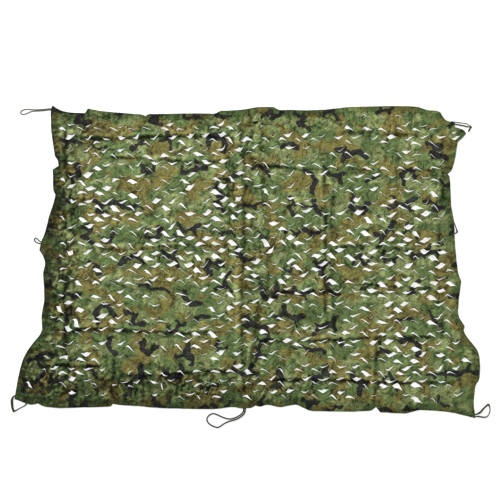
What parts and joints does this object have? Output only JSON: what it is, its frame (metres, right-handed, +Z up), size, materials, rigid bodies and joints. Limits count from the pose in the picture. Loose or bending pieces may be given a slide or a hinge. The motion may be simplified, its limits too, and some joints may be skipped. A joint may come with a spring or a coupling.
{
  "type": "camouflage net",
  "caption": "Slit camouflage net laid out flat with creases, a turned hem all round and short cord loops at its corners and edges",
  "frame": {"origin": "on the surface that the net lies on, under the middle of the cloth's own box", "axes": "+X towards the right hem, +Y towards the top hem, +Z up from the surface"},
  "size_m": [2.398, 1.6123, 0.0346],
  "materials": {
    "camouflage_cloth": "woven polyester with a printed woodland pattern of greens, brown and black",
    "cord": "twisted dark olive cord"
  },
  "bodies": {
    "root": {"net_cloth": "camouflage_cloth", "loop_top_left": "cord", "strand_top_right_upper": "cord", "strand_top_right_lower": "cord", "loop_left": "cord", "loop_right": "cord", "loop_bottom_left": "cord", "loop_bottom": "cord", "loop_bottom_right": "cord"}
  },
  "joints": []
}
